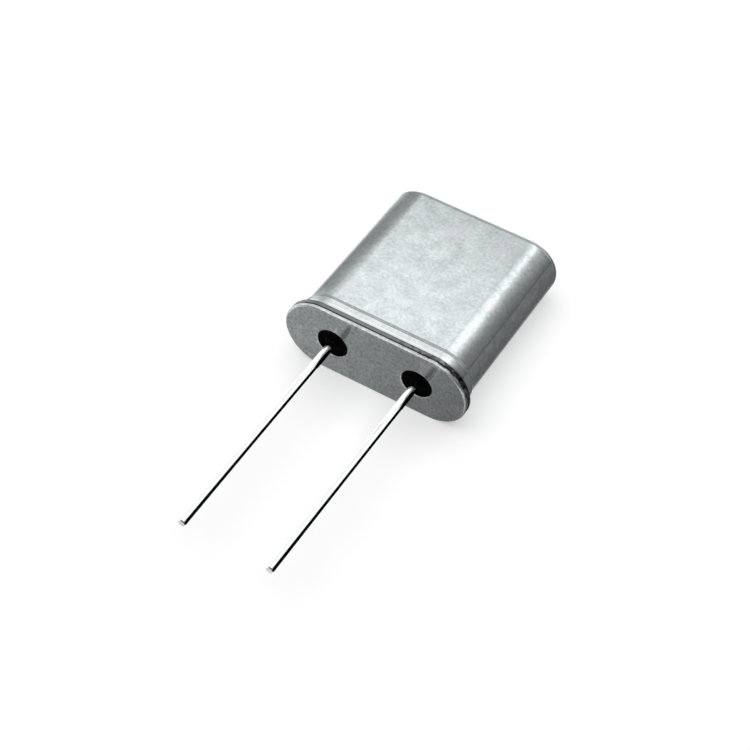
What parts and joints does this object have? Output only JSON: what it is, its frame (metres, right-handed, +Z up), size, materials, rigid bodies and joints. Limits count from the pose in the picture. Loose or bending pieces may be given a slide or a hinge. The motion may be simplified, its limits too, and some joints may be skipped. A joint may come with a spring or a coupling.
{
  "type": "crystal oscillator",
  "caption": "Quartz crystal in a flat metal case with half-round ends, a welded flange, black glass seals and straight wire leads.",
  "frame": {"origin": "middle of the base plate's flat outer face, half way between the leads and at mid-thickness", "axes": "+X from the left lead to the right one, +Y from the base towards the closed end of the cover, so the leads point along -Y, and +Z up through the thickness as the case lies on its wide side"},
  "size_m": [0.008, 0.018, 0.0032],
  "materials": {
    "cover_metal": "satin, drawn nickel-silver sheet with a faint mottled grain",
    "base_metal": "satin, plated steel",
    "seal_glass": "glossy black sealing glass",
    "lead_wire": "bright tinned wire",
    "clip_metal": "bright rolled spring strip",
    "quartz": "polished clear quartz",
    "electrode_film": "evaporated silver film",
    "cement": "silver-filled epoxy, matt grey"
  },
  "bodies": {
    "root": {"cover": "cover_metal", "base_plate": "base_metal", "glass_seal_left": "seal_glass", "glass_seal_right": "seal_glass", "lead_left": "lead_wire", "lead_right": "lead_wire", "mount_clip_left": "clip_metal", "mount_clip_right": "clip_metal", "quartz_blank": "quartz", "electrode_front": "electrode_film", "electrode_back": "electrode_film", "cement_left": "cement", "cement_right": "cement"}
  },
  "joints": []
}
